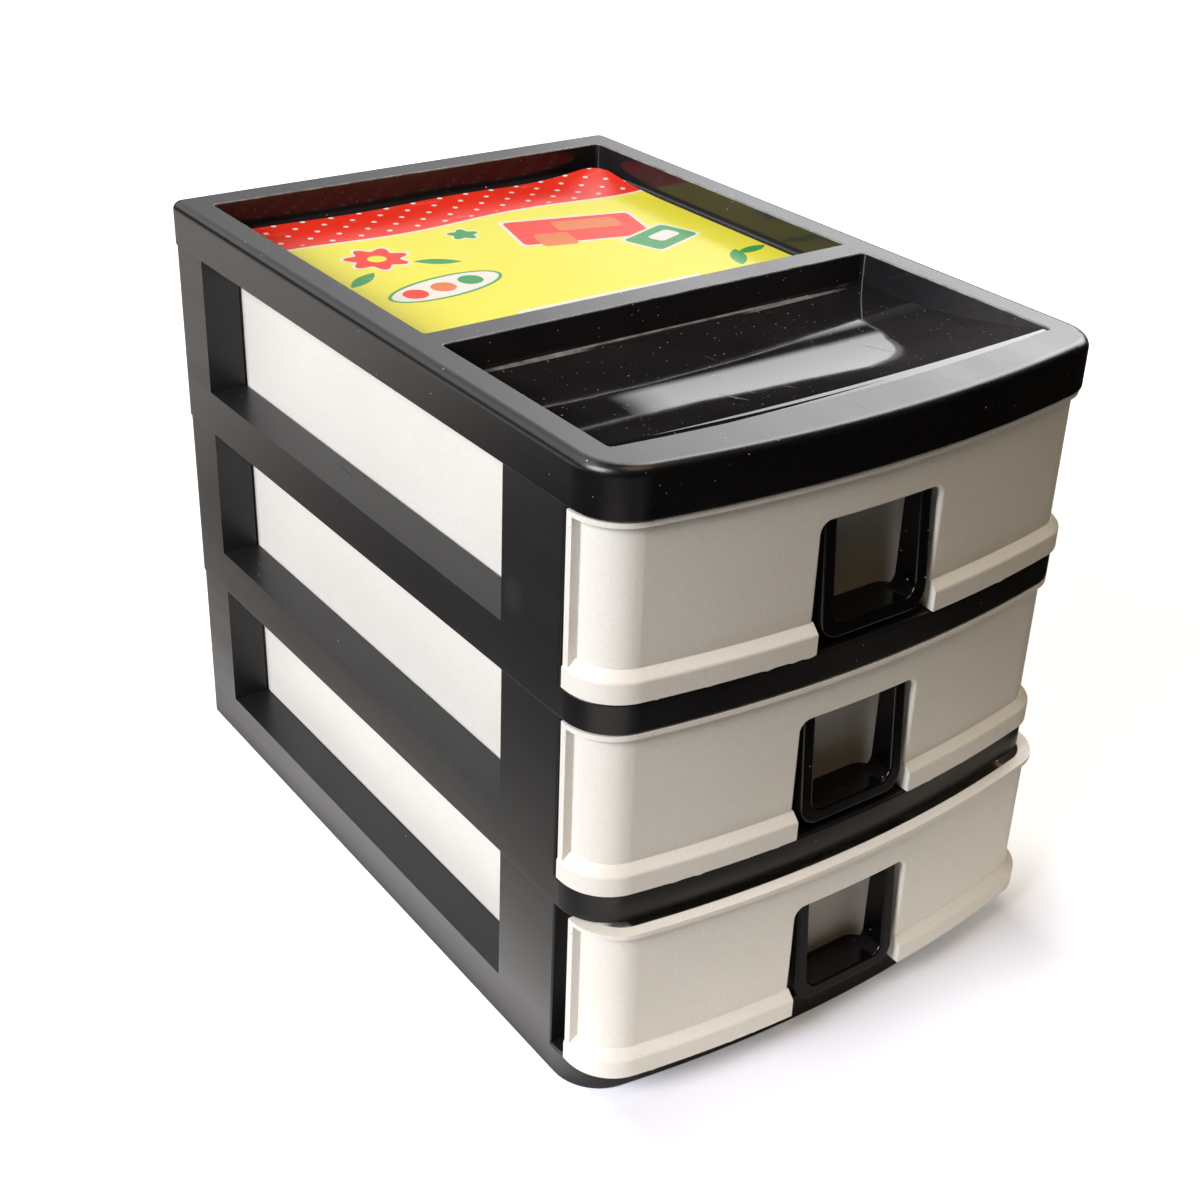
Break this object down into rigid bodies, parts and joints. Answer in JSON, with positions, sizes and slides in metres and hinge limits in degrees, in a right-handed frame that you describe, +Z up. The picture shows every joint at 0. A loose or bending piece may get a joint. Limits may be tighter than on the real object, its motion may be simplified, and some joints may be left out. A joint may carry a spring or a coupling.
{
  "type": "drawer storage box",
  "caption": "Desk-top plastic drawer set: stacked open frames, sliding drawers with bowed fronts and recessed grips, and a tray-top cap that holds a loose printed card.",
  "frame": {"origin": "middle of the footprint, on the surface that the set stands on, with the bottom drawer 6 mm ajar", "axes": "+X to the right of someone facing the drawers, +Y towards the back, +Z up"},
  "size_m": [0.1808, 0.2686, 0.204],
  "materials": {
    "black_plastic": "satin moulded black polypropylene with a faint flow texture",
    "cap_plastic": "semi-gloss moulded black polypropylene",
    "grip_plastic": "semi-gloss moulded black plastic",
    "cream_plastic": "satin moulded off-white polypropylene",
    "printed_card": "glossy laminated print, yellow field with a red band"
  },
  "bodies": {
    "cabinet": {"frame_bottom": "black_plastic", "frame_middle": "black_plastic", "frame_top": "black_plastic", "top_cap": "cap_plastic", "insert_card": "printed_card"},
    "bottom_drawer": {"drawer_bottom": "cream_plastic", "handle_insert_bottom": "grip_plastic"},
    "middle_drawer": {"drawer_middle": "cream_plastic", "handle_insert_middle": "grip_plastic"},
    "top_drawer": {"drawer_top": "cream_plastic", "handle_insert_top": "grip_plastic"}
  },
  "joints": [
    {"name": "bottom_drawer_slide", "type": "slide", "parent": "cabinet", "child": "bottom_drawer", "axis": [0, -1, 0], "range_m": [-0.006, 0.144]},
    {"name": "middle_drawer_slide", "type": "slide", "parent": "cabinet", "child": "middle_drawer", "axis": [0, -1, 0], "range_m": [0, 0.15]},
    {"name": "top_drawer_slide", "type": "slide", "parent": "cabinet", "child": "top_drawer", "axis": [0, -1, 0], "range_m": [0, 0.15]}
  ]
}
